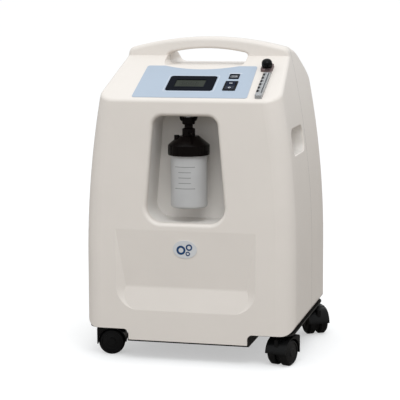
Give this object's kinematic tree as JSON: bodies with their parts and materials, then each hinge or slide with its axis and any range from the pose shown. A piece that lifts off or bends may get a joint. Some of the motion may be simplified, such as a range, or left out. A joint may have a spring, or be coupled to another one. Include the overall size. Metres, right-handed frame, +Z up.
{
  "type": "oxygen concentrator",
  "caption": "Floor-standing home oxygen concentrator on swivel casters: arched carrying handle, sloping control panel with flow meter, recessed humidifier bottle.",
  "frame": {"origin": "on the floor under the middle of the object's box", "axes": "+Z up, +X to the right seen from the front, the control panel and humidifier face -Y"},
  "size_m": [0.4442, 0.3599, 0.5999],
  "materials": {
    "casing": "satin moulded shell",
    "liner": "satin moulded liner",
    "overlay": "satin printed film",
    "bezel": "gloss window surround",
    "lcd": "gloss display window",
    "meter": "gloss",
    "black_gloss": "gloss",
    "rocker": "gloss",
    "clear": "clear moulded acrylic",
    "steel": "bright",
    "brass": "machined",
    "badge": "gloss",
    "lid": "gloss moulded",
    "rubber": "soft",
    "red": "gloss",
    "jar": "frosted translucent plastic",
    "tube": "translucent",
    "pan": "satin powder coat",
    "caster": "satin",
    "tyre": "satin",
    "foam": "open foam",
    "plate": "satin foil",
    "alu": "cast",
    "fan": "satin",
    "board": "satin circuit board",
    "hose": "silicone"
  },
  "bodies": {
    "chassis": {"front_casing": "casing", "rear_casing": "casing", "niche_liner": "liner", "grip_pocket_left": "liner", "grip_pocket_right": "liner", "control_overlay": "overlay", "lcd_bezel": "bezel", "lcd_module": "lcd", "hour_meter": "meter", "switch_frame": "black_gloss", "flowmeter_body": "clear", "flow_valve": "brass", "front_badge": "badge", "outlet_fitting": "steel", "base_pan": "pan", "caster_sockets": "caster", "intake_filter": "foam", "power_inlet": "black_gloss", "rating_plate": "plate", "casing_screws": "steel", "compressor_body": "alu", "compressor_heads": "alu", "compressor_mounts": "rubber", "fan_deck": "alu", "fan_frame": "fan", "sieve_beds": "alu", "product_tank": "tube", "valve_block": "alu", "control_board": "board", "gas_hoses": "hose"},
    "switch_rocker": {"switch_rocker": "rocker"},
    "flow_control": {"flow_knob": "black_gloss", "flow_valve_stem": "steel"},
    "flowmeter_float": {"flowmeter_float": "steel"},
    "lid_assembly": {"humidifier_lid": "lid", "relief_valve": "lid", "dip_tube": "tube"},
    "wing_nut": {"wing_nut": "lid"},
    "lid_gasket": {"lid_gasket": "rubber"},
    "humidifier_jar": {"humidifier_jar": "jar"},
    "intake_door": {"intake_door": "casing"},
    "breaker_button": {"breaker_button": "red"},
    "compressor_shaft": {"compressor_shaft": "steel"},
    "fan_rotor": {"fan_rotor": "fan"},
    "caster_front_left": {"caster_hood_front_left": "caster", "caster_axle_front_left": "steel"},
    "wheel_front_left_a": {"caster_wheel_front_left_a": "tyre"},
    "wheel_front_left_b": {"caster_wheel_front_left_b": "tyre"},
    "caster_front_right": {"caster_hood_front_right": "caster", "caster_axle_front_right": "steel"},
    "wheel_front_right_a": {"caster_wheel_front_right_a": "tyre"},
    "wheel_front_right_b": {"caster_wheel_front_right_b": "tyre"},
    "caster_rear_right": {"caster_hood_rear_right": "caster", "caster_axle_rear_right": "steel"},
    "wheel_rear_right_a": {"caster_wheel_rear_right_a": "tyre"},
    "wheel_rear_right_b": {"caster_wheel_rear_right_b": "tyre"},
    "caster_rear_left": {"caster_hood_rear_left": "caster", "caster_axle_rear_left": "steel"},
    "wheel_rear_left_a": {"caster_wheel_rear_left_a": "tyre"},
    "wheel_rear_left_b": {"caster_wheel_rear_left_b": "tyre"}
  },
  "joints": [
    {"name": "rocker_tilt", "type": "hinge", "parent": "chassis", "child": "switch_rocker", "pos_m": [0.071, -0.11912, 0.51077], "axis": [-1, 0, 0], "range_deg": [0, 12]},
    {"name": "flow_knob_turn", "type": "hinge", "parent": "chassis", "child": "flow_control", "pos_m": [0.1275, -0.05707, 0.54221], "axis": [0, -0.4129, 0.9108], "range_deg": [0, 1440]},
    {"name": "float_rise", "type": "slide", "parent": "chassis", "child": "flowmeter_float", "axis": [0, 0.9108, 0.4129], "range_m": [0, 0.083]},
    {"name": "lid_drop", "type": "slide", "parent": "chassis", "child": "lid_assembly", "axis": [0, 0, -1], "range_m": [0, 0.0085]},
    {"name": "wing_nut_turn", "type": "hinge", "parent": "lid_assembly", "child": "wing_nut", "pos_m": [-0.004, -0.139, 0.45], "axis": [0, 0, -1], "range_deg": [0, 2160]},
    {"name": "gasket_drop", "type": "slide", "parent": "lid_assembly", "child": "lid_gasket", "axis": [0, 0, -1], "range_m": [0, 0.006]},
    {"name": "jar_turn", "type": "hinge", "parent": "lid_gasket", "child": "humidifier_jar", "pos_m": [-0.004, -0.139, 0.35], "axis": [0, 0, -1], "range_deg": [0, 540]},
    {"name": "door_swing", "type": "hinge", "parent": "chassis", "child": "intake_door", "pos_m": [-0.1325, 0.1708, 0.37], "axis": [0, 0, 1], "range_deg": [0, 90]},
    {"name": "breaker_press", "type": "slide", "parent": "chassis", "child": "breaker_button", "axis": [0, -1, 0], "range_m": [0, 0.003], "stiffness_N_per_m": 400},
    {"name": "compressor_turn", "type": "hinge", "parent": "chassis", "child": "compressor_shaft", "pos_m": [0, 0.04, 0.125], "axis": [1, 0, 0], "continuous": true},
    {"name": "fan_turn", "type": "hinge", "parent": "chassis", "child": "fan_rotor", "pos_m": [0, 0.06, 0.25], "axis": [0, 0, 1], "continuous": true},
    {"name": "swivel_front_left", "type": "hinge", "parent": "chassis", "child": "caster_front_left", "pos_m": [-0.18, -0.128, 0.06], "axis": [0, 0, 1], "continuous": true},
    {"name": "roll_front_left_a", "type": "hinge", "parent": "caster_front_left", "child": "wheel_front_left_a", "pos_m": [-0.16246, -0.12395, 0.025], "axis": [0.225, -0.9744, 0], "continuous": true},
    {"name": "roll_front_left_b", "type": "hinge", "parent": "caster_front_left", "child": "wheel_front_left_b", "pos_m": [-0.16246, -0.12395, 0.025], "axis": [0.225, -0.9744, 0], "continuous": true},
    {"name": "swivel_front_right", "type": "hinge", "parent": "chassis", "child": "caster_front_right", "pos_m": [0.18, -0.128, 0.06], "axis": [0, 0, 1], "continuous": true},
    {"name": "roll_front_right_a", "type": "hinge", "parent": "caster_front_right", "child": "wheel_front_right_a", "pos_m": [0.17444, -0.14512, 0.025], "axis": [-0.9511, 0.309, 0], "continuous": true},
    {"name": "roll_front_right_b", "type": "hinge", "parent": "caster_front_right", "child": "wheel_front_right_b", "pos_m": [0.17444, -0.14512, 0.025], "axis": [-0.9511, 0.309, 0], "continuous": true},
    {"name": "swivel_rear_right", "type": "hinge", "parent": "chassis", "child": "caster_rear_right", "pos_m": [0.18, 0.128, 0.06], "axis": [0, 0, 1], "continuous": true},
    {"name": "roll_rear_right_a", "type": "hinge", "parent": "caster_rear_right", "child": "wheel_rear_right_a", "pos_m": [0.18927, 0.11257, 0.025], "axis": [-0.8572, -0.515, 0], "continuous": true},
    {"name": "roll_rear_right_b", "type": "hinge", "parent": "caster_rear_right", "child": "wheel_rear_right_b", "pos_m": [0.18927, 0.11257, 0.025], "axis": [-0.8572, -0.515, 0], "continuous": true},
    {"name": "swivel_rear_left", "type": "hinge", "parent": "chassis", "child": "caster_rear_left", "pos_m": [-0.18, 0.128, 0.06], "axis": [0, 0, 1], "continuous": true},
    {"name": "roll_rear_left_a", "type": "hinge", "parent": "caster_rear_left", "child": "wheel_rear_left_a", "pos_m": [-0.18927, 0.11257, 0.025], "axis": [-0.8572, 0.515, 0], "continuous": true},
    {"name": "roll_rear_left_b", "type": "hinge", "parent": "caster_rear_left", "child": "wheel_rear_left_b", "pos_m": [-0.18927, 0.11257, 0.025], "axis": [-0.8572, 0.515, 0], "continuous": true}
  ],
  "couplings": [
    {"joint": "wing_nut_turn", "follows": "lid_drop", "rad_per_m": 4435.2},
    {"joint": "gasket_drop", "follows": "jar_turn", "m_per_rad": 0.00063662}
  ]
}
